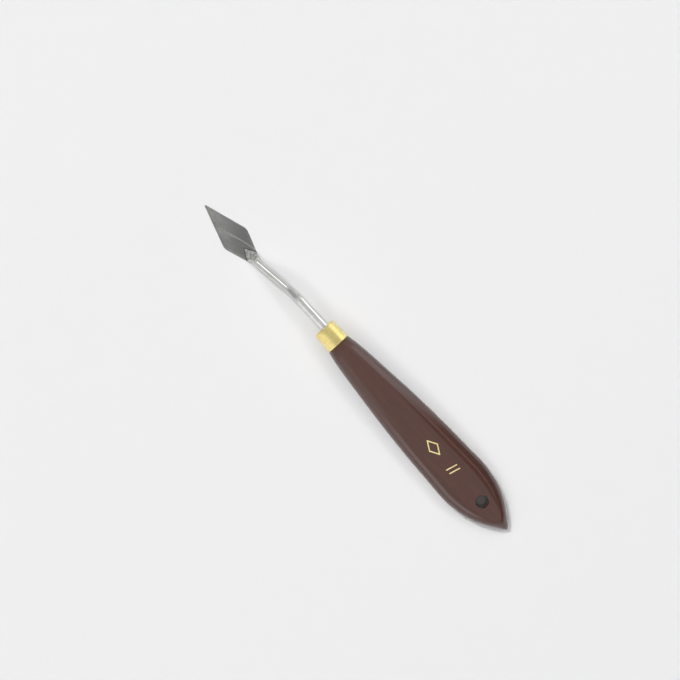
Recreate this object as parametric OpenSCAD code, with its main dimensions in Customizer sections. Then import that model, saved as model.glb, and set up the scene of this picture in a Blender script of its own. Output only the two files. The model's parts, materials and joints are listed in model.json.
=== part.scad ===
// Palette knife with a small lozenge blade on a cranked round shank.
// The knife lies as it does on a table: blade underside and butt on z = 0,
// blade tip towards +X, handle planed faces up and down.
// The origin is at the bottom centre of the whole knife. Millimetres.

/* [Handle] */
// Length of the wooden handle from the ferrule joint to the butt tip
handle_len = 102.3; // [92:0.1:116]
// Greatest width of the handle
handle_w = 22.4; // [20:0.1:26]
// Thickness across the two planed faces
handle_t = 11; // [10:0.1:12]
// Thickness of the oval section before its faces are planed
handle_oval_t = 12.3; // [12.1:0.1:14]
// Nose-up pitch of the handle when the knife lies on a table, in degrees
handle_pitch = 3.1; // [2:0.1:4.5]

/* [Hanging hole] */
// Diameter of the hanging hole
hang_d = 5; // [3:0.1:5.4]
// Distance of the hole's axis from the butt tip
hang_back = 16.1; // [14:0.1:20]
// Width of the eased edge at each mouth of the hole
hang_ease = 0.4; // [0.2:0.1:0.6]

/* [Ferrule] */
// Length of the brass ferrule
ferrule_len = 8.8; // [7:0.1:11]
// Outer diameter at its front
ferrule_d_front = 9.6; // [9:0.1:9.7]
// Outer diameter at the handle
ferrule_d_rear = 10; // [9.7:0.1:10.1]
// Thickness of the drawn brass
ferrule_wall = 0.45; // [0.3:0.05:0.6]

/* [Shank] */
// Diameter of the steel rod
shank_d = 3.8; // [3.2:0.1:4]
// Length of the tang inside the handle
tang_len = 32; // [20:1:45]
// Distance of the first bend ahead of the ferrule joint
bend1_x = 27.5; // [22:0.5:32]
// Distance of the second bend ahead of the ferrule joint
bend2_x = 47.2; // [46:0.1:47.4]
// Centreline radius of the first bend
bend1_r = 16; // [4:0.5:20]
// Centreline radius of the second bend
bend2_r = 5; // [3:0.5:5]
// Sideways offset of the tang from the handle's axis
tang_side = -0.45; // [-0.5:0.05:0.5]

/* [Pad] */
// Width of the hammered pad at the shank's end
pad_w = 5; // [4.6:0.1:5.2]
// Thickness of the pad at its widest
pad_t = 1.8; // [1.4:0.1:2.2]
// Thickness of the pad at its point
pad_tip_t = 0.7; // [0.5:0.1:1]
// Thickness of the silver solder under the pad
solder_t = 0.1; // [0.05:0.05:0.2]

/* [Blade] */
// Distance of the blade's tip ahead of the ferrule joint
tip_x = 78.7; // [77.5:0.1:82]
// Length of the blade
blade_len = 28.8; // [27.5:0.1:29.9]
// Width of the blade where its edges would meet
blade_w = 12.4; // [10:0.1:13]
// Width of the blade's cut-off heel
heel_w = 5.2; // [5:0.1:5.8]
// Distance of the widest point behind the tip
widest_back = 18.6; // [16.5:0.1:20]
// Rounding of the two side corners
corner_r = 4.5; // [1:0.5:6]
// Thickness of the spring steel
blade_t = 0.5; // [0.3:0.05:0.6]
// Sideways offset of the blade from the handle's axis
blade_side = 2; // [-2:0.1:2]
// Distance ahead of the heel where the blade starts to flex
flex_at = 5.4; // [5.3:0.1:6]

/* [Foil] */
// Thickness of the hot-stamped foil
foil_t = 0.05; // [0.03:0.01:0.1]
// Line width of the motif
foil_line = 0.5; // [0.4:0.1:0.8]

/* [Hidden] */
$fn = 96;

flex_gap = 0.1;                       // parting of heel and leaf at the flex line
glue_wall = 0.25;
tenon_len = ferrule_len - ferrule_wall;
heel_x = tip_x - blade_len;
widest_x = tip_x - widest_back;
flex_x = heel_x + flex_at;
pad_z = blade_t + solder_t;           // underside of the pad
pad_back_x = heel_x - 1.9;            // where the round rod starts to flatten
pad_apex_x = heel_x + 4.65;

// ---- handle outline: [share of the length, share of the half width] ----
OUTLINE = [[0, 0.452], [0.006, 0.468], [0.02, 0.496], [0.046, 0.541],
           [0.08, 0.585], [0.15, 0.655], [0.23, 0.727], [0.31, 0.795],
           [0.39, 0.855], [0.47, 0.903], [0.55, 0.938], [0.63, 0.962],
           [0.69, 0.984], [0.74, 1], [0.79, 0.948], [0.83, 0.893],
           [0.87, 0.775], [0.91, 0.614], [0.95, 0.39], [0.975, 0.226],
           [0.992, 0.095], [1, 0]];

// slope of the outline at control point i, limited so that it never overshoots
function chord(p, i) = (p[i + 1][1] - p[i][1]) / (p[i + 1][0] - p[i][0]);
function slope(p, i) =
    i == 0 ? chord(p, 0) :
    i == len(p) - 1 ? chord(p, i - 1) :
    chord(p, i - 1) * chord(p, i) <= 0 ? 0 :
    2 / (1 / chord(p, i - 1) + 1 / chord(p, i));
function span(p, t, i = 0) = (i >= len(p) - 2 || t < p[i + 1][0]) ? i : span(p, t, i + 1);
function curve(p, t) =
    let (i = span(p, t), d = p[i + 1][0] - p[i][0], u = (t - p[i][0]) / d)
    p[i][1] * (1 + 2 * u) * (1 - u) * (1 - u) + slope(p, i) * d * u * (1 - u) * (1 - u)
    + p[i + 1][1] * u * u * (3 - 2 * u) + slope(p, i + 1) * d * u * u * (u - 1);

function half_w(t) = handle_w / 2 * curve(OUTLINE, t);
// the oval's half height follows the outline at the round ends and levels off between them,
// and the butt stays thicker than it is wide, so that the planed faces reach into its point
function butt_fill(t) = let (u = min(1, max(0, (t - 0.82) / 0.12))) 1 + 0.22 * u * u * (3 - 2 * u);
function half_oval(t) =
    let (a = half_w(t) * butt_fill(t), b = handle_oval_t / 2)
    pow(pow(a, -8) + pow(b, -8), -1 / 8);

// one section of the handle: an oval planed flat above and below
SIDE_STEPS = 7;
function ring(t) =
    let (w = half_w(t), o = half_oval(t),
         edge = min(87, asin(min(1, handle_t / 2 / o))),
         q = [for (k = [0:SIDE_STEPS]) edge * k / SIDE_STEPS],
         n = SIDE_STEPS)
    concat(
        [for (k = [0:n]) [w * cos(q[k]), o * sin(q[k])]],
        [for (k = [n:-1:0]) [-w * cos(q[k]), o * sin(q[k])]],
        [for (k = [1:n]) [-w * cos(q[k]), -o * sin(q[k])]],
        [for (k = [n:-1:1]) [w * cos(q[k]), -o * sin(q[k])]]);

// the tenon's section has the same number of points, on a circle inside the ferrule
function tenon_ring(x) =
    let (r = tenon_r(x), m = 4 * SIDE_STEPS + 2)
    [for (j = [0:m - 1])
        let (a = j <= SIDE_STEPS ? 87 * j / SIDE_STEPS :
                 j <= 2 * SIDE_STEPS + 1 ? 93 + 87 * (j - SIDE_STEPS - 1) / SIDE_STEPS :
                 j <= 3 * SIDE_STEPS + 1 ? 180 + 87 * (j - 2 * SIDE_STEPS - 1) / SIDE_STEPS :
                 273 + 87 * (j - 3 * SIDE_STEPS - 2) / SIDE_STEPS)
        [r * cos(a), r * sin(a)]];

RINGS = 42;
function station(i) = (1 - cos(180 * i / RINGS)) / 2;
STATIONS = [for (i = [0:RINGS - 2]) station(i)];

// height of the handle's axis at the ferrule joint, so that its underside touches the table
axis_h = -min([for (t = STATIONS)
    -t * handle_len * sin(handle_pitch)
    - half_oval(t) * sin(min(87, asin(min(1, handle_t / 2 / half_oval(t))))) * cos(handle_pitch)]);

butt_x = -handle_len * cos(handle_pitch);
origin_x = (tip_x + butt_x) / 2;

// ---- shank route ----
d_tang = [cos(handle_pitch), 0, sin(handle_pitch)];
p_tang = [-origin_x, tang_side, axis_h] - tang_len * d_tang;
p_bend1 = [-origin_x, tang_side, axis_h] + bend1_x / cos(handle_pitch) * d_tang;
p_bend2 = [bend2_x - origin_x, blade_side, pad_z + shank_d / 2];
d_slope = (p_bend2 - p_bend1) / norm(p_bend2 - p_bend1);
d_blade = [1, 0, 0];
turn1 = acos(d_tang * d_slope);
turn2 = acos(d_slope * d_blade);
set1 = bend1_r * tan(turn1 / 2);
set2 = bend2_r * tan(turn2 / 2);
e_bend2 = p_bend2 + set2 * d_blade;   // where the round rod ends and the pad starts

function pitch_of(d) = asin(d[2]);
function yaw_of(d) = atan2(d[1], d[0]);
// a direction seen from a frame whose X axis lies along d
function seen(v, d) =
    let (y = yaw_of(d), p = pitch_of(d),
         a = [v[0] * cos(y) + v[1] * sin(y), -v[0] * sin(y) + v[1] * cos(y), v[2]])
    [a[0] * cos(p) + a[2] * sin(p), a[1], -a[0] * sin(p) + a[2] * cos(p)];

// moves children from the handle's own frame (axis along X, planed faces level)
module on_handle() {
    translate([-origin_x, 0, axis_h]) rotate([0, -handle_pitch, 0]) children();
}
module along(p, d) {
    translate(p) rotate([0, -pitch_of(d), yaw_of(d)]) children();
}
module rod_x(x0, x1, r, y = 0) {
    translate([x0, y, 0]) rotate([0, 90, 0]) cylinder(h = x1 - x0, r = r);
}
lap = 0.05;                           // straight lengths run this far into the bends
skim = 0.01;                          // and are this much slimmer than the bends
module straight(p, q, r) {
    along(p, (q - p) / norm(q - p)) rod_x(-lap, norm(q - p) + lap, r);
}
// a bent length of rod that starts at p along d0 and leaves along d1
module bend(p, d0, d1, turn, rc, r) {
    s = seen(d1, d0);
    along(p, d0) rotate([atan2(s[2], s[1]), 0, 0])
        translate([0, rc, 0]) rotate([0, 0, -90])
            rotate_extrude(angle = turn) translate([rc, 0]) circle(r);
}

// the turned tenon and the handle behind it, lofted as one skin
module handle_body() {
    rings = concat([tenon_ring(tenon_len), tenon_ring(0)], [for (t = STATIONS) ring(t)]);
    xs = concat([tenon_len, 0], [for (t = STATIONS) -t * handle_len]);
    m = len(rings[0]);
    n = len(rings);
    pts = concat([for (i = [0:n - 1]) for (p = rings[i]) [xs[i], p[0], p[1]]],
                 [[-handle_len, 0, 0]]);
    faces = concat(
        [[for (j = [0:m - 1]) j]],
        [for (i = [0:n - 2]) for (j = [0:m - 1])
            [i * m + j, (i + 1) * m + j, (i + 1) * m + (j + 1) % m, i * m + (j + 1) % m]],
        [for (j = [0:m - 1]) [(n - 1) * m + j, n * m, (n - 1) * m + (j + 1) % m]]);
    polyhedron(points = pts, faces = faces, convexity = 4);
}

function tenon_r(x) = ferrule_d_rear / 2 - ferrule_wall
    - (ferrule_d_rear - ferrule_d_front) / 2 * x / ferrule_len;

// lacquered wooden handle with its turned tenon, tang bore and hanging hole
module handle() {
    hx = -handle_len + hang_back;
    color([0.30, 0.12, 0.10]) on_handle() difference() {
        handle_body();
        rod_x(-tang_len - 1.5, tenon_len + 1, shank_d / 2 + glue_wall, tang_side);
        translate([hx, 0, -handle_t]) cylinder(h = 2 * handle_t, d = hang_d);
        for (s = [-1, 1]) translate([hx, 0, s * handle_t / 2]) rotate([s > 0 ? 0 : 180, 0, 0])
            translate([0, 0, -hang_ease]) rotate_extrude()
                polygon([[0, 0], [hang_d / 2, 0], [hang_d / 2 + 2 * hang_ease, 2 * hang_ease], [0, 2 * hang_ease]]);
    }
}

// drawn brass ferrule, closed at the front but for the hole of the shank
module ferrule() {
    a = ferrule_d_rear / 2;
    b = ferrule_d_front / 2;
    w = ferrule_wall;
    ease = 0.5;
    color([0.83, 0.72, 0.42]) on_handle() difference() {
        rotate([0, 90, 0]) rotate_extrude()
            polygon(concat(
                [[0, tenon_len], [tenon_r(tenon_len), tenon_len], [tenon_r(0), 0], [a - 0.1, 0], [a, 0.1]],
                [for (k = [0:6]) [b - ease + ease * cos(15 * k), ferrule_len - ease + ease * sin(15 * k)]],
                [[0, ferrule_len]]));
        rod_x(tenon_len - 1, ferrule_len + 1, shank_d / 2, tang_side);
    }
}

// cured epoxy that fills the tang bore round the rod
module tang_glue() {
    color([0.85, 0.80, 0.62]) on_handle() difference() {
        rod_x(-tang_len - 1.5, tenon_len, shank_d / 2 + glue_wall, tang_side);
        rod_x(-tang_len, tenon_len + 1, shank_d / 2, tang_side);
    }
}

// steel rod: tang, first bend, slope, second bend and hammered pad
module shank() {
    r = shank_d / 2;
    color([0.78, 0.78, 0.76]) {
        straight(p_tang + lap * d_tang, p_bend1 - set1 * d_tang, r - skim);
        bend(p_bend1 - set1 * d_tang, d_tang, d_slope, turn1, bend1_r, r);
        straight(p_bend1 + set1 * d_slope, p_bend2 - set2 * d_slope, r - skim);
        bend(p_bend2 - set2 * d_slope, d_slope, d_blade, turn2, bend2_r, r);
        hull() {
            translate(e_bend2 - [0.2, 0, 0]) rotate([0, 90, 0]) cylinder(h = 0.2, r = r - skim, $fn = 32);
            pad_slice(heel_x, pad_w, pad_t);
        }
        hull() {
            pad_slice(heel_x, pad_w, pad_t);
            pad_slice(pad_apex_x - 0.1, 0.7, pad_tip_t);
        }
    }
}
module pad_slice(x, w, t) {
    translate([x - origin_x, blade_side - w / 2, pad_z]) cube([0.1, w, t]);
}

// silver solder: a film under the pad and a small bead round it
module pad_outline(grow) {
    g = grow / cos(32);
    translate([-origin_x, blade_side]) polygon([
        [heel_x, -pad_w / 2 - grow], [heel_x + 0.1, -pad_w / 2 - grow],
        [pad_apex_x, -0.35 - 0.4 * grow], [pad_apex_x + 0.8 * g, 0], [pad_apex_x, 0.35 + 0.4 * grow],
        [heel_x + 0.1, pad_w / 2 + grow], [heel_x, pad_w / 2 + grow]]);
}
module solder() {
    color([0.86, 0.86, 0.83]) intersection() {
        union() {
            translate([0, 0, blade_t]) linear_extrude(solder_t) pad_outline(0.3);
            translate([0, 0, pad_z]) linear_extrude(0.25) difference() {
                pad_outline(0.3);
                pad_outline(0.02);
            }
        }
        translate([0, 0, -1]) linear_extrude(5) blade_outline();
    }
}

// ---- blade outline: straight edges, rounded side corners and a blunt point ----
lead = atan2(blade_w / 2, widest_back);
trail = atan2((blade_w - heel_w) / 2, widest_x - heel_x);
function corner_arc(s) =
    let (inset = corner_r / cos((lead + trail) / 2),
         lean = (trail - lead) / 2,
         c = [widest_x - inset * sin(-lean), blade_w / 2 - inset * cos(lean)])
    [for (k = [0:8]) let (a = 90 + trail - (lead + trail) * k / 8)
        [c[0] + corner_r * cos(a), s * (c[1] + corner_r * sin(a))]];
tip_r = 0.4;
function tip_arc() =
    let (c = tip_x - tip_r)
    [for (k = [-4:4]) let (a = (90 - lead) * k / 4) [c + tip_r * cos(a), -tip_r * sin(a)]];
module blade_outline() {
    up = corner_arc(1);
    down = corner_arc(-1);
    translate([-origin_x, blade_side]) polygon(concat(
        [[heel_x, heel_w / 2]], up, tip_arc(),
        [for (k = [8:-1:0]) down[k]], [[heel_x, -heel_w / 2]]));
}
module blade_part(x0, x1) {
    color([0.50, 0.50, 0.49]) linear_extrude(blade_t) intersection() {
        blade_outline();
        translate([x0 - origin_x, blade_side - blade_w]) square([x1 - x0, 2 * blade_w]);
    }
}
// fixed end of the blade, soldered under the pad
module blade_heel() { blade_part(heel_x - 1, flex_x - flex_gap / 2); }
// springy part of the blade, from the flex line to the point
module blade_leaf() { blade_part(flex_x + flex_gap / 2, tip_x + 1); }

// gold foil on the upper planed face: a lozenge outline and two slanted bars
module foil_mark() {
    lx = -56.5; lw = 8.4; lh = 4.8; k = foil_line;
    color([0.90, 0.78, 0.42]) on_handle() translate([0, 0, handle_t / 2]) linear_extrude(foil_t) {
        translate([lx, -0.2]) difference() {
            polygon([[-lw / 2, 0], [0, lh / 2], [lw / 2, 0], [0, -lh / 2]]);
            polygon([[-lw / 2 + 2.02 * k, 0], [0, lh / 2 - 1.15 * k], [lw / 2 - 2.02 * k, 0], [0, -lh / 2 + 1.15 * k]]);
        }
        for (i = [0, 1]) translate([-67.4 - 1.9 * i, -0.2])
            polygon([[-k / 2 - 0.6, -lh / 2], [k / 2 - 0.6, -lh / 2], [k / 2 + 0.6, lh / 2], [-k / 2 + 0.6, lh / 2]]);
    }
}

handle();
ferrule();
tang_glue();
shank();
solder();
blade_heel();
blade_leaf();
foil_mark();
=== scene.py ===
"""Palette knife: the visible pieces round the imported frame. Lengths in the helpers are millimetres."""
import json
import math

import bmesh
import bpy
import numpy as np
from mathutils import Matrix, Vector, noise


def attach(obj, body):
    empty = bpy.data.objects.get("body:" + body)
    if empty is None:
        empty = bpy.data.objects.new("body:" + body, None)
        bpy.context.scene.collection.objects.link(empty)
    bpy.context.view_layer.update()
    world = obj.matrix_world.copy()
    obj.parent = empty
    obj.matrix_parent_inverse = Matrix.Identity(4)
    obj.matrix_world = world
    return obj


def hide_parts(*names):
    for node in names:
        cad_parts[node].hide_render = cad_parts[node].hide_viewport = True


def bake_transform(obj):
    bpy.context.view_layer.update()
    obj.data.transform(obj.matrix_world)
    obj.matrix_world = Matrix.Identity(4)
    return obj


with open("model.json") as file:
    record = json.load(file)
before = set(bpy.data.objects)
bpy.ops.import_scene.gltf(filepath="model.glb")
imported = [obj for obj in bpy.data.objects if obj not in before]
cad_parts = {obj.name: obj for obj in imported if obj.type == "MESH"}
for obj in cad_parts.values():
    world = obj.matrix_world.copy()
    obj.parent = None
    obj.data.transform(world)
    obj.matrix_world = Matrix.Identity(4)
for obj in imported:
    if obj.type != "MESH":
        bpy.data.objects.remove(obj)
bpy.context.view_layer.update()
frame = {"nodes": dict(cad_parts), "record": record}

MM = 0.001

# ------------------------------------------------------------------ sizes, as in the CAD source
HANDLE_LEN, HANDLE_W, HANDLE_T, OVAL_T, PITCH = 102.3, 22.4, 11.0, 12.3, math.radians(3.1)
HANG_D, HANG_BACK, HANG_EASE = 5.0, 16.1, 0.4
FER_LEN, FER_DF, FER_DR, FER_WALL = 8.8, 9.6, 10.0, 0.45
ROD_D, TANG_LEN, GLUE = 3.8, 32.0, 0.25
BEND1_X, BEND2_X, BEND1_R, BEND2_R, TANG_SIDE = 27.5, 47.2, 16.0, 5.0, -0.45
PAD_W, PAD_T, PAD_TIP_T, SOLDER_T = 5.0, 1.8, 0.7, 0.1
TIP_X, BLADE_LEN, BLADE_W, HEEL_W, WIDEST_BACK, CORNER_R = 78.7, 28.8, 12.4, 5.2, 18.6, 4.5
BLADE_T, BLADE_SIDE = 0.5, 2.0
OUTLINE = [(0, 0.452), (0.006, 0.468), (0.02, 0.496), (0.046, 0.541),
           (0.08, 0.585), (0.15, 0.655), (0.23, 0.727), (0.31, 0.795),
           (0.39, 0.855), (0.47, 0.903), (0.55, 0.938), (0.63, 0.962),
           (0.69, 0.984), (0.74, 1), (0.79, 0.948), (0.83, 0.893),
           (0.87, 0.775), (0.91, 0.614), (0.95, 0.39), (0.975, 0.226),
           (0.992, 0.095), (1, 0)]

# where the frame says the handle is
hole = [m for m in frame["record"]["mounts"] if m["name"] == "hang_hole"][0]
hole_x = -HANDLE_LEN + HANG_BACK
ORIGIN_X = hole_x * math.cos(PITCH) - hole["pos_m"][0] / MM
AXIS_H = hole["pos_m"][2] / MM - hole_x * math.sin(PITCH)
HEEL_X = TIP_X - BLADE_LEN
PAD_Z = BLADE_T + SOLDER_T
APEX_X = HEEL_X + 4.65


def on_handle(p):
    """The handle's own frame (axis along X from the ferrule joint) to the row frame, in mm."""
    p = np.asarray(p, float)
    x, y, z = p[..., 0], p[..., 1], p[..., 2]
    return np.stack([x * math.cos(PITCH) - z * math.sin(PITCH) - ORIGIN_X, y,
                     x * math.sin(PITCH) + z * math.cos(PITCH) + AXIS_H], -1)


def on_knife(p):
    """Distances ahead of the ferrule joint to the row frame, in mm."""
    p = np.asarray(p, float)
    return p - np.array([ORIGIN_X, 0, 0])


# ------------------------------------------------------------------ mesh helpers
def new_object(name, verts, faces, smooth=True):
    me = bpy.data.meshes.new(name)
    me.from_pydata([tuple(v) for v in np.asarray(verts) * MM], [], faces)
    me.validate()
    me.update()
    ob = bpy.data.objects.new(name, me)
    bpy.context.scene.collection.objects.link(ob)
    me.polygons.foreach_set("use_smooth", [smooth] * len(me.polygons))
    return ob


def tidy(ob, sharp=None, merge=1e-7):
    bm = bmesh.new()
    bm.from_mesh(ob.data)
    bmesh.ops.remove_doubles(bm, verts=bm.verts, dist=merge)
    bmesh.ops.dissolve_degenerate(bm, edges=bm.edges, dist=1e-8)
    bmesh.ops.recalc_face_normals(bm, faces=bm.faces)
    bm.to_mesh(ob.data)
    bm.free()
    ob.data.polygons.foreach_set("use_smooth", [True] * len(ob.data.polygons))
    if sharp is not None:
        ob.data.set_sharp_from_angle(angle=math.radians(sharp))
    ob.data.update()
    return ob


def loft(rings, cap_start=True, cap_end=True, closed=False):
    """Quads between rings that all have the same number of points."""
    n, m = len(rings), len(rings[0])
    verts = np.concatenate([np.asarray(r, float) for r in rings])
    faces = []
    last = n if closed else n - 1
    for i in range(last):
        a, b = i * m, ((i + 1) % n) * m
        for j in range(m):
            k = (j + 1) % m
            faces.append((a + j, b + j, b + k, a + k))
    if not closed:
        if cap_start:
            faces.append(tuple(range(m)))
        if cap_end:
            faces.append(tuple((n - 1) * m + j for j in range(m - 1, -1, -1)))
    return verts, faces


def fbm(p, scale, octaves=3, seed=0.0):
    """Smooth noise about 0, from -1 to 1, at points p in mm."""
    return np.array([noise.fractal(Vector((q[0] * scale + seed, q[1] * scale + 1.7 * seed, q[2] * scale - seed)),
                                   1.0, 2.0, octaves) for q in p])


def smoothstep(a, b, x):
    t = np.clip((np.asarray(x, float) - a) / (b - a), 0, 1)
    return t * t * (3 - 2 * t)


# ------------------------------------------------------------------ handle outline
def hermite(table, t):
    x = np.array([p[0] for p in table], float)
    y = np.array([p[1] for p in table], float)
    d = np.diff(y) / np.diff(x)
    m = np.zeros(len(x))
    m[0], m[-1] = d[0], d[-1]
    for i in range(1, len(x) - 1):
        m[i] = 0 if d[i - 1] * d[i] <= 0 else 2 / (1 / d[i - 1] + 1 / d[i])
    i = np.clip(np.searchsorted(x, t, side="right") - 1, 0, len(x) - 2)
    h = x[i + 1] - x[i]
    u = (t - x[i]) / h
    return (y[i] * (1 + 2 * u) * (1 - u) ** 2 + m[i] * h * u * (1 - u) ** 2
            + y[i + 1] * u * u * (3 - 2 * u) + m[i + 1] * h * u * u * (u - 1))


_t = np.linspace(0, 1, 4001)
_w = hermite(OUTLINE, _t)
_k = np.exp(-0.5 * (np.arange(-240, 241) / 80.0) ** 2)
_soft = np.convolve(np.pad(_w, 240, mode="reflect", reflect_type="odd"), _k / _k.sum(), mode="valid")
_mix = smoothstep(0.03, 0.09, _t) * (1 - smoothstep(0.93, 0.975, _t))
_w = _w * (1 - _mix) + np.minimum(_soft, 1.0) * _mix


def half_w(t):
    return HANDLE_W / 2 * np.interp(t, _t, _w)


def half_oval(t):
    a, b = half_w(t) * (1 + 0.22 * smoothstep(0.82, 0.94, t)), OVAL_T / 2
    return (a ** -8.0 + b ** -8.0) ** (-1 / 8.0)


# ------------------------------------------------------------------ handle
def handle_ring(t, m):
    """An oval section with its planed faces eased into the sides."""
    w, o, h, p = float(half_w(t)), float(half_oval(t)), HANDLE_T / 2, 40.0
    a = 2 * np.pi * np.arange(m) / m
    s = np.sin(a)
    z = np.where(np.abs(s) < 1e-9, 0.0, 0.0)
    for j in range(m):
        v = o * abs(s[j])
        if v > 1e-9:
            z[j] = math.copysign(((v ** -p) + (h ** -p)) ** (-1 / p), s[j])
    return w * np.cos(a), z


def tenon_r(x):
    return FER_DR / 2 - FER_WALL - (FER_DR - FER_DF) / 2 * x / FER_LEN


def build_handle():
    m = 144
    a = 2 * np.pi * np.arange(m) / m
    ten = FER_LEN - FER_WALL
    bore_r = ROD_D / 2 + GLUE
    rings = []

    def circle(x, r, cy=0.0):
        rings.append(np.stack([np.full(m, x), cy + r * np.cos(a), r * np.sin(a)], -1))

    # blind tang bore, tenon end, tenon, front shoulder
    circle(-TANG_LEN - 1.5, bore_r * 0.5, TANG_SIDE)
    for x in np.linspace(-TANG_LEN - 1.5, ten, 12):
        circle(x, bore_r, TANG_SIDE)
    circle(ten, 3.2, TANG_SIDE * 0.5)
    circle(ten, tenon_r(ten) - 0.25)
    circle(ten - 0.25, tenon_r(ten - 0.25))
    for x in np.linspace(ten - 1, 0.2, 8):
        circle(x, tenon_r(x))
    circle(0.0, tenon_r(0) - 0.02)
    circle(0.0, 4.7)
    # outline, denser at both ends
    ts = np.concatenate([np.linspace(0, 0.02, 10), np.linspace(0.02, 0.1, 22)[1:],
                         np.linspace(0.1, 0.93, 170)[1:], np.linspace(0.93, 0.9965, 34)[1:]])
    for t in ts:
        y, z = handle_ring(t, m)
        # small round-over where the lacquered end meets the ferrule
        if t < 0.006:
            k = 1 - 0.05 * (1 - math.sqrt(max(0.0, 1 - (1 - t / 0.006) ** 2)))
            y, z = y * k, z * k
        rings.append(np.stack([np.full(m, -t * HANDLE_LEN), y, z], -1))
    # blunted butt tip
    y0, z0 = handle_ring(0.9965, m)
    for q in (0.82, 0.6, 0.36, 0.15):
        x = -HANDLE_LEN * (0.9965 + 0.0035 * math.sqrt(1 - q * q) * 0.9)
        rings.append(np.stack([np.full(m, x), y0 * q, z0 * q], -1))
    verts, faces = loft(rings)
    # the hand-sanded surface isn't true: it falls up to a few hundredths of a millimetre short
    n0 = m * (len(rings) - len(ts) - 4)
    body = verts[n0:]
    wob = 0.5 + 0.5 * fbm(body * np.array([0.35, 1, 1]), 0.16, 2, 3.1)
    wob2 = 0.5 + 0.5 * fbm(body, 0.6, 2, 8.4)
    r = np.hypot(body[:, 1], body[:, 2])
    cut = np.clip(0.035 * wob + 0.008 * wob2, 0, 0.05) * smoothstep(0.3, 3, r) * smoothstep(0.0, 2.0, -body[:, 0])
    body[:, 1] -= body[:, 1] / np.maximum(r, 1e-6) * cut
    body[:, 2] -= body[:, 2] / np.maximum(r, 1e-6) * cut * 0.5
    verts[n0:] = body
    ob = new_object("handle_wood", on_handle(verts), faces)
    tidy(ob)

    # the hanging hole with its eased, lacquered mouths
    h = HANDLE_T / 2
    prof = [(HANG_D / 2, 0.0)]
    e = HANG_EASE + 0.15
    for q in np.radians(np.linspace(0, 78, 9)):
        prof.append((HANG_D / 2 + e * (1 - math.cos(q)), h - e + e * math.sin(q)))
    r1, z1 = prof[-1]
    prof.append((r1 + 1.2 * math.sin(math.radians(78)) , z1 + 1.2 * math.cos(math.radians(78))))
    prof.append((r1 + 1.2, z1 + 3.0))
    full = [(r_, -z_) for r_, z_ in prof[:0:-1]] + prof
    k = 96
    b = 2 * np.pi * np.arange(k) / k
    rr = [np.stack([hole_x + r_ * np.cos(b), r_ * np.sin(b), np.full(k, z_)], -1) for r_, z_ in full]
    cv, cf = loft(rr)
    cutter = new_object("cutter", on_handle(cv), cf)
    tidy(cutter)
    mod = ob.modifiers.new("hole", "BOOLEAN")
    mod.operation, mod.solver, mod.object = "DIFFERENCE", "EXACT", cutter
    dg = bpy.context.evaluated_depsgraph_get()
    me = bpy.data.meshes.new_from_object(ob.evaluated_get(dg))
    ob.modifiers.clear()
    old, ob.data = ob.data, me
    bpy.data.meshes.remove(old)
    cut_me = cutter.data
    bpy.data.objects.remove(cutter)
    bpy.data.meshes.remove(cut_me)
    ob.data.name = "handle_wood"
    tidy(ob, sharp=38, merge=2e-7)
    return ob


# ------------------------------------------------------------------ ferrule
def build_ferrule():
    m = 144
    a = 2 * np.pi * np.arange(m) / m
    af, ar, w, ln = FER_DF / 2, FER_DR / 2, FER_WALL, FER_LEN
    prof = []  # (x, r, cy)
    # rolled rear edge
    for q in np.radians(np.linspace(-90, 90, 9)):
        prof.append((0.14 - 0.12 * math.cos(q), ar - 0.12 + 0.12 * math.sin(q), 0))
    # drawn body, with the faint swell that drawing leaves
    for u in np.linspace(0.04, 0.93, 24):
        prof.append((ln * u, ar - (ar - af) * u - 0.012 + 0.012 * math.sin(math.pi * u), 0))
    e = 0.62
    for q in np.radians(np.linspace(0, 84, 12)):
        prof.append((ln - e + e * math.sin(q), af - e + e * math.cos(q), 0))
    # slightly dished front, turned in round the rod
    for u in np.linspace(0.1, 1, 7):
        r = (af - e) + (ROD_D / 2 + 0.14 - (af - e)) * u
        prof.append((ln - 0.02 - 0.10 * math.sin(math.pi / 2 * u), r, TANG_SIDE * u))
    prof.append((ln - 0.16, ROD_D / 2 + 0.035, TANG_SIDE))
    prof.append((ln - 0.34, ROD_D / 2 + 0.03, TANG_SIDE))
    prof.append((ln - w + 0.03, ROD_D / 2 + 0.05, TANG_SIDE))
    prof.append((ln - w + 0.01, af - w - 0.3, 0))
    prof.append((ln - w - 0.2, tenon_r(ln - w) + 0.01, 0))
    prof.append((0.25, tenon_r(0.25) + 0.01, 0))
    rings = [np.stack([np.full(m, x), cy + r * np.cos(a), r * np.sin(a)], -1) for x, r, cy in prof]
    v, f = loft(rings, closed=True)
    ob = new_object("ferrule_brass", on_handle(v), f)
    return tidy(ob, sharp=50)


# ------------------------------------------------------------------ rod with its hammered pad
def unit(v):
    v = np.asarray(v, float)
    return v / np.linalg.norm(v)


D_TANG = np.array([math.cos(PITCH), 0, math.sin(PITCH)])
P_JOINT = np.array([-ORIGIN_X, TANG_SIDE, AXIS_H])
P_BEND1 = P_JOINT + BEND1_X / math.cos(PITCH) * D_TANG
P_BEND2 = np.array([BEND2_X - ORIGIN_X, BLADE_SIDE, PAD_Z + ROD_D / 2])
D_SLOPE = unit(P_BEND2 - P_BEND1)
D_BLADE = np.array([1.0, 0, 0])


def arc(vertex, d0, d1, rc, steps):
    turn = math.acos(float(np.clip(d0 @ d1, -1, 1)))
    back = rc * math.tan(turn / 2)
    start = vertex - back * d0
    side = unit(d1 - (d1 @ d0) * d0)
    out = []
    for q in np.linspace(0, turn, steps):
        out.append((start + rc * math.sin(q) * d0 + rc * (1 - math.cos(q)) * side,
                    math.cos(q) * d0 + math.sin(q) * side))
    return out


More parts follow.
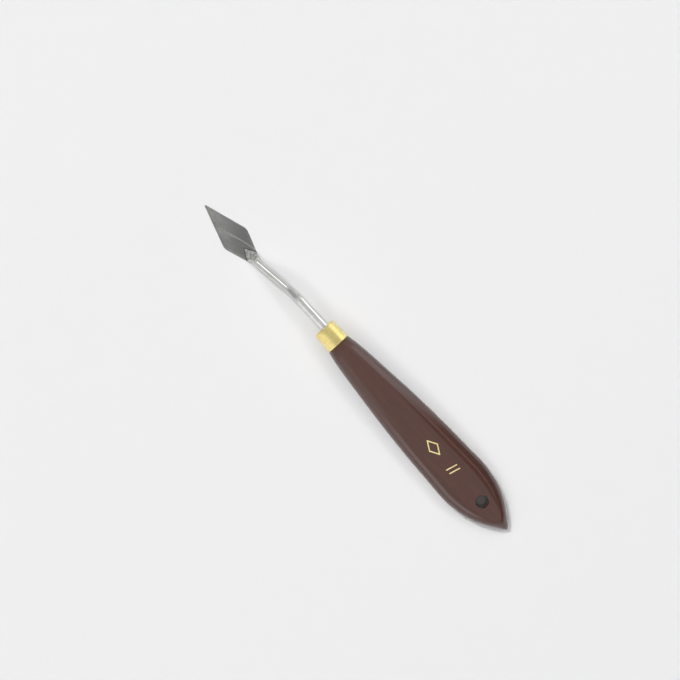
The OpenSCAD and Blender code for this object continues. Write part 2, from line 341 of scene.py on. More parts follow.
def build_rod():
    m = 96
    a = 2 * np.pi * np.arange(m) / m
    path = []
    first = arc(P_BEND1, D_TANG, D_SLOPE, BEND1_R, 26)
    second = arc(P_BEND2, D_SLOPE, D_BLADE, BEND2_R, 22)
    start = P_JOINT - TANG_LEN * D_TANG
    for u in np.linspace(0, 1, 90)[:-1]:
        path.append((start + u * (first[0][0] - start), D_TANG))
    path += first
    for u in np.linspace(0, 1, 60)[1:-1]:
        path.append((first[-1][0] + u * (second[0][0] - first[-1][0]), D_SLOPE))
    path += second
    end = second[-1][0]
    apex = APEX_X - ORIGIN_X
    for x in np.concatenate([np.linspace(end[0], HEEL_X - ORIGIN_X, 16)[1:],
                             np.linspace(HEEL_X - ORIGIN_X, apex, 34)[1:]]):
        path.append((np.array([x, BLADE_SIDE, np.nan]), D_BLADE))

    widest = HEEL_X - ORIGIN_X
    grow0 = widest - 2.4
    rings = []
    r = ROD_D / 2
    for p, d in path:
        side = unit(np.cross([0, 0, 1], d))
        up = np.cross(d, side)
        x = p[0]
        ha = r + (PAD_W / 2 - r) * smoothstep(grow0, widest - 0.1, x)
        hb = r
        sq = 2.0 + 2.6 * smoothstep(grow0 + 0.4, widest, x)
        if x > widest:
            u = (x - widest) / (apex - widest)
            ha = PAD_W / 2 * (1 - u) + 0.16 * u + 0.10 * math.sin(math.pi * u)
            sq = 4.6 - 1.2 * u
        if x > end[0] - 1.2:
            lo = PAD_Z
            top_rod = PAD_Z + ROD_D
            top = top_rod + (PAD_Z + PAD_T - top_rod) * smoothstep(end[0] - 1.2, widest + 0.1, x)
            if x > widest - 0.2:
                top = min(top, PAD_Z + PAD_T - (PAD_T - PAD_TIP_T) * smoothstep(widest - 0.6, apex + 1.2, x))
            if np.isnan(p[2]):
                hb = (top - lo) / 2
                p = np.array([p[0], p[1], lo + hb])
            else:
                hb_top = top - p[2]
                hb = (r + min(hb_top, r)) / 2
                p = p + up * (hb_top - r) / 2 if hb_top < r else p
        c, s = np.cos(a), np.sin(a)
        e = 2.0 / sq
        yy = ha * np.sign(c) * np.abs(c) ** e
        zz = hb * np.sign(s) * np.abs(s) ** e
        rings.append(p + yy[:, None] * side + zz[:, None] * up)
    verts, faces = loft(rings)
    # hammer marks on the pad, dying out up the rod; its underside stays flat on the solder
    x = verts[:, 0]
    k = smoothstep(grow0 - 1.2, widest - 0.6, x) * (1 - 0.7 * smoothstep(apex - 1.4, apex, x))
    bump = fbm(verts, 0.95, 2, 5.3) * 0.15 + fbm(verts, 2.1, 2, 2.2) * 0.075
    upper = smoothstep(PAD_Z + 0.25, PAD_Z + 0.9, verts[:, 2])
    verts[:, 2] += bump * k * upper
    verts[:, 1] += fbm(verts, 1.3, 2, 11.0) * 0.07 * k
    # the drawn rod is round to a few microns only
    ob = new_object("shank_rod", verts, faces)
    return tidy(ob, sharp=60)


# ------------------------------------------------------------------ blade
def blade_half_width():
    lead = math.atan2(BLADE_W / 2, WIDEST_BACK)
    wx = TIP_X - WIDEST_BACK
    trail = math.atan2((BLADE_W - HEEL_W) / 2, wx - HEEL_X)
    inset = CORNER_R / math.cos((lead + trail) / 2)
    lean = (trail - lead) / 2
    cx, cy = wx + inset * math.sin(lean), BLADE_W / 2 - inset * math.cos(lean)
    pts = [(HEEL_X, HEEL_W / 2)]
    for k in range(25):
        q = math.pi / 2 + trail - (lead + trail) * k / 24
        pts.append((cx + CORNER_R * math.cos(q), cy + CORNER_R * math.sin(q)))
    tr = 0.4
    c = TIP_X - tr
    for k in range(25):
        q = (math.pi / 2 - lead) * (1 - k / 24)
        pts.append((c + tr * math.cos(q), tr * math.sin(q)))
    return pts


def build_blade():
    pts = blade_half_width()
    px = np.array([p[0] for p in pts])
    py = np.array([p[1] for p in pts])
    xs = np.concatenate([np.linspace(HEEL_X, TIP_X - 1.0, 190), px[px > TIP_X - 1.0]])
    xs = np.unique(np.concatenate([xs, px]))
    # crowded towards the edge, where the ground bevel is
    n = 40
    vv = np.linspace(0, 1, n + 1)
    vv = np.sin(vv * math.pi / 2) ** 0.9
    vs = np.concatenate([-vv[:0:-1], vv])
    k = len(vs)
    top, bottom = [], []
    for x in xs:
        w = float(np.interp(x, px, py))
        y = vs * w
        u = (x - HEEL_X) / BLADE_LEN
        t = BLADE_T * (1 - 0.34 * smoothstep(0.25, 1.0, u))
        d = (1 - np.abs(vs)) * w
        d = np.minimum(d, (TIP_X - x) * 0.9 + 1e-4)
        d_heel = x - HEEL_X
        edge = 0.34 + (1 - 0.34) * smoothstep(-0.25, 1.1, d)
        edge = np.minimum(edge, 0.82 + 0.18 * float(smoothstep(0, 0.12, d_heel)))
        top.append(np.stack([np.full(k, x), BLADE_SIDE + y, t * edge], -1))
        low = 0.02 * (1 - smoothstep(0, 0.12, d))
        bottom.append(np.stack([np.full(k, x), BLADE_SIDE + y, np.minimum(low, t * edge * 0.4)], -1))
    nx = len(xs)
    verts = np.concatenate([np.concatenate(top), np.concatenate(bottom)])
    faces = []
    off = nx * k
    for i in range(nx - 1):
        for j in range(k - 1):
            a, b = i * k + j, (i + 1) * k + j
            faces.append((a, b, b + 1, a + 1))
            faces.append((off + a + 1, off + b + 1, off + b, off + a))
        for j in (0, k - 1):
            a, b = i * k + j, (i + 1) * k + j
            q = (a, off + a, off + b, b)
            faces.append(q if j == 0 else q[::-1])
    for i in (0, nx - 1):
        for j in range(k - 1):
            a = i * k + j
            q = (a + 1, off + a + 1, off + a, a)
            faces.append(q if i == 0 else q[::-1])
    ob = new_object("blade_steel", on_knife(verts), faces)
    # rest positions as a UV map, so that the finish stays put when the blade flexes
    tidy(ob, sharp=30, merge=5e-8)
    me = ob.data
    uv = me.uv_layers.new(name="UVMap")
    co = np.zeros(len(me.vertices) * 3, np.float32)
    me.vertices.foreach_get("co", co)
    co = co.reshape(-1, 3)
    vi = np.zeros(len(me.loops), np.int32)
    me.loops.foreach_get("vertex_index", vi)
    flat = np.stack([(co[vi, 0] / MM + ORIGIN_X - HEEL_X) / 40 + 0.1,
                     (co[vi, 1] / MM - BLADE_SIDE) / 40 + 0.5], -1)
    uv.data.foreach_set("uv", flat.astype(np.float32).ravel())
    return ob


# ------------------------------------------------------------------ solder bead round the pad
def build_solder():
    widest, apex = HEEL_X, APEX_X
    path = []
    for u in np.linspace(0, 1, 40):
        path.append((widest + 0.02 + (apex - widest) * u, -(PAD_W / 2 * (1 - u) + 0.16 * u + 0.10 * math.sin(math.pi * u))))
    for u in np.linspace(-1, 1, 9)[1:-1]:
        path.append((apex + 0.10 * (1 - abs(u) ** 2), 0.16 * u))
    path += [(x, -y) for x, y in path[39::-1]]
    path = np.array(path)
    tang = np.gradient(path, axis=0)
    tang /= np.linalg.norm(tang, axis=1)[:, None]
    out = np.stack([tang[:, 1], -tang[:, 0]], -1)
    rings = []
    for i, (p, o) in enumerate(zip(path, out)):
        wob = 1 + 0.35 * noise.noise(Vector((p[0] * 1.9, p[1] * 1.9, 4.0)))
        wide, high = 0.36 * wob, 0.26 * wob
        sec = [(-0.25, 0.0), (wide, 0.0)]
        for q in np.linspace(0, 1, 7)[1:]:
            # concave fillet from the blade up the side of the pad
            sec.append((wide * (1 - q) ** 1.6 - 0.02 * q, high * q ** 1.6))
        sec.append((-0.25, high))
        ring = []
        for d, z in sec:
            q = p + o * d
            ring.append((max(q[0], widest + 0.01), BLADE_SIDE + q[1], BLADE_T - 0.01 + z))
        rings.append(ring)
    verts, faces = loft(rings)
    ob = new_object("solder_bead", on_knife(verts), faces)
    tidy(ob, sharp=60)
    # the film under the pad
    pts = [(widest + 0.02, -PAD_W / 2)] + [(x, y) for x, y in path[1:-1]] + [(widest + 0.02, PAD_W / 2)]
    low = [(x, BLADE_SIDE + y * 0.98, BLADE_T - 0.01) for x, y in pts]
    up = [(x, BLADE_SIDE + y * 0.98, PAD_Z + 0.005) for x, y in pts]
    v, f = loft([low, up])
    film = new_object("solder_film", on_knife(v), f)
    tidy(film, sharp=30)
    return ob, film


# ------------------------------------------------------------------ foil motif
def build_foil():
    """A lozenge outline and two slanted bars, stamped 0.05 mm proud with softened corners."""
    top = HANDLE_T / 2 + 0.045
    k = 0.5
    verts, faces = [], []

    def prism(outer, inner=None):
        base = len(verts)
        n = len(outer)
        for z, s in ((HANDLE_T / 2 - 0.06, 0.0), (top - 0.012, 0.0), (top, 0.03)):
            loops = [outer] if inner is None else [outer, inner]
            for li, lp in enumerate(loops):
                c = np.mean(lp, 0)
                for q in lp:
                    v = np.array(q) - c
                    ln = np.linalg.norm(v)
                    v = v * (1 - (s if li == 0 else -s) / max(ln, 1e-6))
                    verts.append((c[0] + v[0], c[1] + v[1], z))
        per = n * (1 if inner is None else 2)
        for lv in range(2):
            for li in range(1 if inner is None else 2):
                for j in range(n):
                    a = base + lv * per + li * n + j
                    b = base + lv * per + li * n + (j + 1) % n
                    q = (a, b, b + per, a + per)
                    faces.append(q if li == 0 else q[::-1])
        for lv in (0, 2):
            o = base + lv * per
            if inner is None:
                q = tuple(o + j for j in range(n))
                faces.append(q if lv == 2 else q[::-1])
            else:
                for j in range(n):
                    q = (o + j, o + (j + 1) % n, o + n + (j + 1) % n, o + n + j)
                    faces.append(q if lv == 2 else q[::-1])

    def rounded(poly, r, steps=5):
        poly = [np.array(p, float) for p in poly]
        out = []
        n = len(poly)
        for i in range(n):
            p, a, b = poly[i], poly[i - 1], poly[(i + 1) % n]
            u, v = unit(a - p), unit(b - p)
            ang = math.acos(float(np.clip(u @ v, -1, 1)))
            d = r / math.tan(ang / 2)
            c = p + unit(u + v) * r / math.sin(ang / 2)
            q0, q1 = p + u * d - c, p + v * d - c
            t0, t1 = math.atan2(q0[1], q0[0]), math.atan2(q1[1], q1[0])
            dt = (t1 - t0 + math.pi) % (2 * math.pi) - math.pi
            for s in range(steps + 1):
                t = t0 + dt * s / steps
                out.append((c[0] + r * math.cos(t), c[1] + r * math.sin(t)))
        return out

    lx, lw, lh = -56.5, 8.4, 4.8
    o = [(lw / 2, 0), (0, lh / 2), (-lw / 2, 0), (0, -lh / 2)]
    i_ = [(lw / 2 - 2.02 * k, 0), (0, lh / 2 - 1.15 * k), (-lw / 2 + 2.02 * k, 0), (0, -lh / 2 + 1.15 * k)]
    shift = lambda poly, x, y: [(p[0] + x, p[1] + y) for p in poly]
    prism(rounded(shift(o, lx, -0.2), 0.15), rounded(shift(i_, lx, -0.2), 0.08))
    for i in (0, 1):
        bar = [(-k / 2 - 0.6, -lh / 2), (k / 2 - 0.6, -lh / 2), (k / 2 + 0.6, lh / 2), (-k / 2 + 0.6, lh / 2)]
        prism(rounded(shift(bar, -67.4 - 1.9 * i, -0.2), 0.1))
    ob = new_object("foil_motif", on_handle(verts), faces)
    return tidy(ob, sharp=35)


# ------------------------------------------------------------------ node helpers
class Nodes:
    def __init__(self, tree):
        self.t = tree

    def add(self, kind, **props):
        n = self.t.nodes.new(kind)
        for k, v in props.items():
            setattr(n, k, v)
        return n

    def link(self, a, b):
        self.t.links.new(a, b)

    def put(self, socket, v):
        if hasattr(v, "is_output"):
            self.link(v, socket)
        elif isinstance(v, (tuple, list)) and socket.type == "RGBA" and len(v) == 3:
            socket.default_value = (*v, 1)
        else:
            socket.default_value = v

    def math(self, op, a, b=None, c=None, clamp=False):
        n = self.add("ShaderNodeMath", operation=op, use_clamp=clamp)
        self.put(n.inputs[0], a)
        if b is not None:
            self.put(n.inputs[1], b)
        if c is not None:
            self.put(n.inputs[2], c)
        return n.outputs[0]

    def map(self, v, a, b, lo=0.0, hi=1.0, smooth=True):
        n = self.add("ShaderNodeMapRange", interpolation_type="SMOOTHSTEP" if smooth else "LINEAR", clamp=True) \
            if smooth else self.add("ShaderNodeMapRange", clamp=True)
        self.put(n.inputs["Value"], v)
        self.put(n.inputs["From Min"], a)
        self.put(n.inputs["From Max"], b)
        self.put(n.inputs["To Min"], lo)
        self.put(n.inputs["To Max"], hi)
        return n.outputs["Result"]

    def mix(self, f, a, b, blend="MIX"):
        n = self.add("ShaderNodeMix", data_type="RGBA", blend_type=blend, clamp_factor=True)
        self.put(n.inputs[0], f)
        self.put(n.inputs[6], a)
        self.put(n.inputs[7], b)
        return n.outputs[2]

    def mixf(self, f, a, b):
        n = self.add("ShaderNodeMix", data_type="FLOAT", clamp_factor=True)
        self.put(n.inputs[0], f)
        self.put(n.inputs[2], a)
        self.put(n.inputs[3], b)
        return n.outputs[0]

    def coords(self, scale, kind="Object", rot=(0, 0, 0), loc=(0, 0, 0)):
        c = self.add("ShaderNodeTexCoord")
        m = self.add("ShaderNodeMapping", vector_type="POINT")
        self.link(c.outputs[kind], m.inputs["Vector"])
        m.inputs["Scale"].default_value = scale
        m.inputs["Rotation"].default_value = rot
        m.inputs["Location"].default_value = loc
        return m.outputs["Vector"]

    def noise(self, vec, scale=1.0, detail=3.0, rough=0.5, distort=0.0):
        n = self.add("ShaderNodeTexNoise")
        self.link(vec, n.inputs["Vector"])
        n.inputs["Scale"].default_value = scale
        n.inputs["Detail"].default_value = detail
        n.inputs["Roughness"].default_value = rough
        n.inputs["Distortion"].default_value = distort
        return n.outputs["Fac"]

    def bump(self, h, strength, distance, normal=None):
        n = self.add("ShaderNodeBump")
        self.link(h, n.inputs["Height"])
        n.inputs["Strength"].default_value = strength
        n.inputs["Distance"].default_value = distance
        if normal is not None:
            self.link(normal, n.inputs["Normal"])
        return n.outputs["Normal"]


def material(name):
    mat = bpy.data.materials.new(name)
    mat.use_nodes = True
    t = mat.node_tree
    for n in list(t.nodes):
        t.nodes.remove(n)
    k = Nodes(t)
    out = k.add("ShaderNodeOutputMaterial")
    bsdf = k.add("ShaderNodeBsdfPrincipled")
    k.link(bsdf.outputs[0], out.inputs[0])
    return mat, k, bsdf


def mat_wood():
    mat, k, b = material("lacquered_wood")
    rot = (0, PITCH, 0)
    # long streaks, growth figure and fine pores, all drawn out along the handle
    streak = k.noise(k.coords((22, 520, 520), rot=rot), 1.0, 4, 0.55, 0.4)
    figure = k.noise(k.coords((9, 120, 120), rot=rot, loc=(3, 1, 2)), 1.0, 2, 0.5, 0.8)
    pore = k.noise(k.coords((260, 5200, 5200), rot=rot, loc=(1, 5, 3)), 1.0, 2, 0.5)
    col = k.mix(k.map(streak, 0.34, 0.68), (0.062, 0.0225, 0.0148), (0.083, 0.0300, 0.0200))
    col = k.mix(k.map(figure, 0.35, 0.7), col, (0.074, 0.0240, 0.0158))
    dark = k.map(pore, 0.60, 0.70)
    col = k.mix(k.math("MULTIPLY", dark, 0.45), col, (0.022, 0.0075, 0.0060))
    # painted shade: the wood darkens in a thin band just behind the ferrule, standing in for the shaded gap at
    # the joint
    at = k.add("ShaderNodeTexCoord")
    along = k.add("ShaderNodeSeparateXYZ")
    k.link(at.outputs["Object"], along.inputs[0])
    end = k.map(along.outputs["X"], (-ORIGIN_X - 0.75) * MM, (-ORIGIN_X - 0.25) * MM)
    col = k.mix(k.math("MULTIPLY", end, 0.75), col, (0.018, 0.0075, 0.0050))
    k.put(b.inputs["Base Color"], col)
    b.inputs["Roughness"].default_value = 0.45
    b.inputs["IOR"].default_value = 1.45
    b.inputs["Specular IOR Level"].default_value = 0.2
    b.inputs["Coat Weight"].default_value = 1.0
    b.inputs["Coat IOR"].default_value = 1.55
    smear = k.noise(k.coords((60, 160, 160)), 1.0, 3, 0.6)
    k.put(b.inputs["Coat Roughness"], k.map(smear, 0.3, 0.75, 0.055, 0.12))
    peel = k.noise(k.coords((330, 520, 520)), 1.0, 2, 0.5)
    n1 = k.bump(peel, 0.10, 0.00008)
    k.put(b.inputs["Coat Normal"], n1)
    n2 = k.bump(pore, 0.25, 0.00005)
    k.put(b.inputs["Normal"], n2)
    return mat


def mat_brass():
    mat, k, b = material("drawn_brass")
    # polishing lines run round the ferrule, so they vary quickly along X only
    lines = k.noise(k.coords((1300, 60, 60), rot=(0, PITCH, 0)), 1.0, 2, 0.5)
    cloud = k.noise(k.coords((260, 300, 300)), 1.0, 3, 0.6)
    col = k.mix(k.map(cloud, 0.3, 0.7), (0.885, 0.715, 0.28), (0.975, 0.815, 0.355))
    spots = k.noise(k.coords((1100, 1100, 1100)), 1.0, 2, 0.5)
    col = k.mix(k.math("MULTIPLY", k.map(spots, 0.66, 0.74), 0.35), col, (0.60, 0.45, 0.18))
    k.put(b.inputs["Base Color"], col)
    b.inputs["Metallic"].default_value = 1.0
    k.put(b.inputs["Roughness"], k.map(lines, 0.3, 0.7, 0.23, 0.32))
    k.put(b.inputs["Normal"], k.bump(lines, 0.10, 0.00002))
    return mat


def mat_rod():
    mat, k, b = material("bright_rod")
    draw = k.noise(k.coords((40, 3600, 3600), rot=(0, PITCH, 0)), 1.0, 3, 0.6)
    cloud = k.noise(k.coords((420, 420, 420)), 1.0, 3, 0.6)
    # the hammered pad is duller and slightly oxidised
    c = k.add("ShaderNodeTexCoord")
    sep = k.add("ShaderNodeSeparateXYZ")
    k.link(c.outputs["Object"], sep.inputs[0])
    pad = k.map(sep.outputs["X"], (HEEL_X - ORIGIN_X - 3.0) * MM, (HEEL_X - ORIGIN_X - 0.8) * MM)
    col = k.mix(k.map(cloud, 0.3, 0.7), (0.70, 0.70, 0.685), (0.80, 0.80, 0.785))
    dents = k.noise(k.coords((950, 950, 950), loc=(2, 1, 4)), 1.0, 3, 0.6)
    specks = k.noise(k.coords((2600, 2600, 2600)), 1.0, 2, 0.6)
    colp = k.mix(k.map(dents, 0.36, 0.64), (0.40, 0.41, 0.38), (0.82, 0.83, 0.79))
    colp = k.mix(k.math("MULTIPLY", k.map(specks, 0.60, 0.68), 0.55), colp, (0.16, 0.165, 0.14))
    k.put(b.inputs["Base Color"], k.mix(pad, col, colp))
    b.inputs["Metallic"].default_value = 1.0
    b.inputs["Specular Tint"].default_value = (0.45, 0.45, 0.45, 1)
    rough = k.map(draw, 0.3, 0.7, 0.10, 0.17)
    roughp = k.map(cloud, 0.3, 0.7, 0.30, 0.48)
    k.put(b.inputs["Roughness"], k.mixf(pad, rough, roughp))
    grain = k.noise(k.coords((2600, 2600, 2600)), 1.0, 3, 0.6)
    n1 = k.bump(draw, 0.05, 0.00002)
    n2 = k.bump(dents, 0.5, 0.00022, k.bump(grain, 0.35, 0.00006, n1))
    mixn = k.add("ShaderNodeMix", data_type="VECTOR")
    k.put(mixn.inputs[0], pad)
    k.link(n1, mixn.inputs[4])
    k.link(n2, mixn.inputs[5])
    k.link(mixn.outputs[1], b.inputs["Normal"])
    return mat


def mat_blade():
    mat, k, b = material("ground_spring_steel")
    uv = k.add("ShaderNodeUVMap", uv_map="UVMap")
    sep = k.add("ShaderNodeSeparateXYZ")
    k.link(uv.outputs[0], sep.inputs[0])
    # u, v back to millimetres along and across the blade
    along = k.math("MULTIPLY", k.math("SUBTRACT", sep.outputs["X"], 0.1), 40.0)
    across = k.math("MULTIPLY", k.math("SUBTRACT", sep.outputs["Y"], 0.5), 40.0)

    def tex(sx, sy, detail=3, rough=0.6, loc=(0, 0, 0)):
        m = k.add("ShaderNodeMapping")
        k.link(uv.outputs[0], m.inputs["Vector"])
        m.inputs["Scale"].default_value = (sx, sy, 1)
        m.inputs["Location"].default_value = loc
        return k.noise(m.outputs["Vector"], 1.0, detail, rough)

    grind = tex(900, 26, 3, 0.6)           # fine grinding lines across the blade
    cloud = tex(22, 30, 3, 0.55, (4, 2, 0))
    tone = tex(7, 9, 2, 0.5, (1, 7, 0))
    # painted reflection: the steel's colour is lighter towards the front and along one side, where its mirror
    # picks up lighter surroundings
    side = k.map(k.math("SUBTRACT", across, k.math("MULTIPLY", k.math("SUBTRACT", along, 9.0), 0.28)), -2.2, 3.4)
    col = k.mix(side, (0.289, 0.289, 0.291), (0.352, 0.354, 0.333))
    front_reflection = k.map(along, 8.5, 18.0)
    col = k.mix(front_reflection, col, k.mix(side, (0.46, 0.46, 0.457), (0.76, 0.76, 0.745)))
    # painted reflection: a lighter band along one edge
    rim = k.map(k.math("SUBTRACT", across, k.math("MULTIPLY", along, 0.06)), 0.8, 4.2)
    col = k.mix(k.math("MULTIPLY", rim, 0.75), col, (0.48, 0.48, 0.47))
    # painted shade: darker near the heel on the lighter side
    near = k.math("MULTIPLY", k.map(along, 9.5, 3.5), side)
    col = k.mix(k.math("MULTIPLY", near, 0.6), col, (0.262, 0.267, 0.243))
    col = k.mix(k.math("MULTIPLY", k.map(tone, 0.35, 0.65), 0.35), col, (0.30, 0.30, 0.302))
    # painted reflection: lighter towards the tip
    tip_reflection = k.map(along, 17.5, 24.0)
    col = k.mix(k.math("MULTIPLY", tip_reflection, 0.6), col, (0.64, 0.64, 0.63))
    # painted reflection: a faint light streak curves from the heel to one edge; the roughness is lowered along it
    # too
    da = k.math("SUBTRACT", along, 4.45)
    curve = k.math("ADD", k.math("MULTIPLY_ADD", k.math("MULTIPLY", da, da), 0.0098, -2.35), k.math("MULTIPLY", da, 0.245))
    dist = k.math("ABSOLUTE", k.math("SUBTRACT", across, curve))
    wide = k.map(along, 6.0, 18.0, 0.34, 1.5)
    painted_reflection_streak = k.math("MULTIPLY", k.map(k.math("DIVIDE", dist, wide), 1.0, 0.1), k.map(along, 21.0, 9.0, 0.25, 1.0))
    col = k.mix(k.math("MULTIPLY", painted_reflection_streak, 0.9), col, (0.61, 0.61, 0.60))
    col = k.mix(k.math("MULTIPLY", k.map(cloud, 0.35, 0.7), 0.25), col, (0.30, 0.30, 0.285))
    fleck = tex(70, 50, 2, 0.6, (5, 3, 0))
    col = k.mix(k.math("MULTIPLY", k.map(fleck, 0.52, 0.70), 0.30), col, (0.52, 0.52, 0.51))
    col = k.mix(k.math("MULTIPLY", k.map(fleck, 0.48, 0.30), 0.30), col, (0.17, 0.17, 0.17))
    k.put(b.inputs["Base Color"], col)
    b.inputs["Metallic"].default_value = 1.0
    b.inputs["Specular Tint"].default_value = (0.7, 0.7, 0.7, 1)
    rough = k.map(grind, 0.3, 0.7, 0.27, 0.40)
    k.put(b.inputs["Roughness"], k.math("SUBTRACT", rough, k.math("MULTIPLY", painted_reflection_streak, 0.08)))
    k.put(b.inputs["Normal"], k.bump(grind, 0.18, 0.00002))
    return mat


def mat_solder():
    mat, k, b = material("silver_solder")
    cloud = k.noise(k.coords((900, 900, 900)), 1.0, 3, 0.6)
    # the solder is coloured near-black, which paints the shadow line along the pad's edge onto the bead
    k.put(b.inputs["Base Color"], k.mix(k.map(cloud, 0.3, 0.7), (0.060, 0.060, 0.048), (0.15, 0.15, 0.13)))
    b.inputs["Metallic"].default_value = 0.9
    k.put(b.inputs["Roughness"], k.map(cloud, 0.3, 0.7, 0.38, 0.60))
    k.put(b.inputs["Normal"], k.bump(cloud, 0.4, 0.00008))
    return mat


def mat_foil():
    mat, k, b = material("gold_foil")
    wear = k.noise(k.coords((2400, 2400, 2400)), 1.0, 3, 0.65)
    soft = k.noise(k.coords((500, 500, 500)), 1.0, 2, 0.5)
    col = k.mix(k.map(soft, 0.3, 0.7), (0.92, 0.74, 0.31), (0.97, 0.84, 0.45))
    col = k.mix(k.math("MULTIPLY", k.map(wear, 0.62, 0.72), 0.5), col, (0.30, 0.17, 0.07))
    k.put(b.inputs["Base Color"], col)
    k.put(b.inputs["Metallic"], 0.5)
    k.put(b.inputs["Roughness"], k.map(wear, 0.3, 0.7, 0.30, 0.46))
    k.put(b.inputs["Normal"], k.bump(wear, 0.2, 0.00002))
    return mat


def mat_epoxy():
    mat, k, b = material("cured_epoxy")
    cloud = k.noise(k.coords((500, 500, 500)), 1.0, 3, 0.6)
    k.put(b.inputs["Base Color"], k.mix(k.map(cloud, 0.3, 0.7), (0.60, 0.50, 0.28), (0.72, 0.62, 0.38)))
    k.put(b.inputs["Roughness"], k.map(cloud, 0.3, 0.7, 0.25, 0.40))
    b.inputs["Transmission Weight"].default_value = 0.15
    k.put(b.inputs["Normal"], k.bump(cloud, 0.1, 0.00005))
    return mat


# ------------------------------------------------------------------ build
handle = build_handle()
ferrule = build_ferrule()
rod = build_rod()
blade = build_blade()
bead, film = build_solder()
foil = build_foil()

for ob, mat, nodes, slot in (
        (handle, mat_wood(), ("handle",), "lacquered_wood"),
        (ferrule, mat_brass(), ("ferrule",), "brass"),
        (rod, mat_rod(), ("shank",), "bright_steel"),
        (blade, mat_blade(), ("blade_heel", "blade_leaf"), "blade_steel"),
        (bead, mat_solder(), ("solder",), "solder"),
        (foil, mat_foil(), ("foil_mark",), "gold_foil")):
    ob.data.materials.clear()
    ob.data.materials.append(mat)
    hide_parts(*nodes)
    if ob is not blade:
        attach(ob, "knife")
film.data.materials.append(bead.data.materials[0])
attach(film, "knife")

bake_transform(blade)

glue = frame["nodes"]["tang_glue"]
glue.data.materials.clear()
glue.data.materials.append(mat_epoxy())

# ------------------------------------------------------------------ floor and a plain backdrop for low views
bpy.ops.mesh.primitive_plane_add(size=12, location=(0, 0, -0.00003))
floor = bpy.context.object
floor.name = "floor"
fm, k, b = material("pale_floor")
b.inputs["Base Color"].default_value = (0.86, 0.86, 0.865, 1)
b.inputs["Roughness"].default_value = 0.75
b.inputs["Specular IOR Level"].default_value = 0.2
# further out the floor dissolves into the backdrop, so a low view keeps an even pale ground
fc, fs = k.add("ShaderNodeTexCoord"), k.add("ShaderNodeVectorMath")
fs.operation = "LENGTH"
k.link(fc.outputs["Object"], fs.inputs[0])
fx, ft, fo = (k.add(x) for x in ("ShaderNodeMixShader", "ShaderNodeBsdfTransparent", "ShaderNodeOutputMaterial"))
for n in list(fm.node_tree.nodes):
    if n.type == "OUTPUT_MATERIAL" and n != fo:
        fm.node_tree.nodes.remove(n)
k.put(fx.inputs[0], k.map(fs.outputs["Value"], 0.75, 0.24))
k.link(ft.outputs[0], fx.inputs[1])
k.link(b.outputs[0], fx.inputs[2])
k.link(fx.outputs[0], fo.inputs[0])
floor.data.materials.append(fm)

bpy.ops.mesh.primitive_uv_sphere_add(segments=48, ring_count=24, radius=5.9)
dome = bpy.context.object
dome.name = "backdrop"
dm = bpy.data.materials.new("pale_backdrop")
dm.use_nodes = True
dn = dm.node_tree
for n in list(dn.nodes):
    dn.nodes.remove(n)
de, do = dn.nodes.new("ShaderNodeEmission"), dn.nodes.new("ShaderNodeOutputMaterial")
de.inputs["Color"].default_value = (0.84, 0.84, 0.845, 1)
dn.links.new(de.outputs[0], do.inputs[0])
dome.data.materials.append(dm)
dome.visible_diffuse = dome.visible_glossy = dome.visible_transmission = False
dome.visible_volume_scatter = dome.visible_shadow = False

# ------------------------------------------------------------------ studio light: soft boxes drawn on the sky
R = math.radians
world = bpy.data.worlds.new("studio")
bpy.context.scene.world = world
world.use_nodes = True
wt = world.node_tree
for n in list(wt.nodes):
    wt.nodes.remove(n)
k = Nodes(wt)
wo = k.add("ShaderNodeOutputWorld")
bg = k.add("ShaderNodeBackground")
k.link(bg.outputs[0], wo.inputs[0])
tc = k.add("ShaderNodeTexCoord")
sx = k.add("ShaderNodeSeparateXYZ")
k.link(tc.outputs["Generated"], sx.inputs[0])
X, Y, Z = sx.outputs[0], sx.outputs[1], sx.outputs[2]


def window(v, a, b, soft):
    """1 between a and b, falling off over soft on each side."""
    return k.math("MULTIPLY", k.map(v, a - soft, a + soft), k.map(v, b + soft, b - soft))


zen_y = k.math("ARCTAN2", Y, Z)            # lean from the zenith towards +Y, radians
zen_x = k.math("ARCTAN2", X, Z)
ax, ay = k.math("ABSOLUTE", X), k.math("ABSOLUTE", Y)
SKY = 0.62
total = k.math("ADD", SKY, 0.0)
parts = [
    # darker flags to both sides, which let the stain's own colour show on the shoulders
    (k.math("MULTIPLY", window(zen_y, R(-100), R(-30), R(4)), k.map(X, 0.19, 0.08)), -0.48),
    (k.math("MULTIPLY", window(zen_y, R(33), R(57), R(5)), k.map(X, 0.30, 0.16)), -0.08),
    # slim strip on one side, broad box on the other
    (k.math("MULTIPLY", window(zen_y, R(-57), R(-50.5), R(2)),
            k.math("MULTIPLY", k.map(ax, 0.6, 0.4), k.map(X, 0.16, 0.06))), 0.65),
    (k.math("MULTIPLY", window(zen_y, R(60), R(80), R(5)),
            k.math("MULTIPLY", k.map(ax, 0.5, 0.35), k.map(X, 0.16, 0.06))), 1.0),
    (k.math("MULTIPLY", window(zen_y, R(-85), R(-32), R(5)), k.map(X, 0.4, 0.55)), -0.02),
    # the bend of the rod picks up a darker patch between the two boxes
    (k.math("MULTIPLY", window(zen_x, R(6), R(41), R(5)), window(zen_y, R(-30), R(57), R(9))), -0.24),
    # small box beyond the blade's tip
    (k.math("MULTIPLY", window(zen_x, R(46), R(66), R(3)), window(zen_y, R(-12), R(13), R(4))), 1.4),
]
for f, power in parts:
    total = k.math("ADD", total, k.math("MULTIPLY", f, power))
k.put(bg.inputs["Color"], (1.0, 0.997, 0.99))
k.put(bg.inputs["Strength"], total)
world.cycles_visibility.diffuse = False


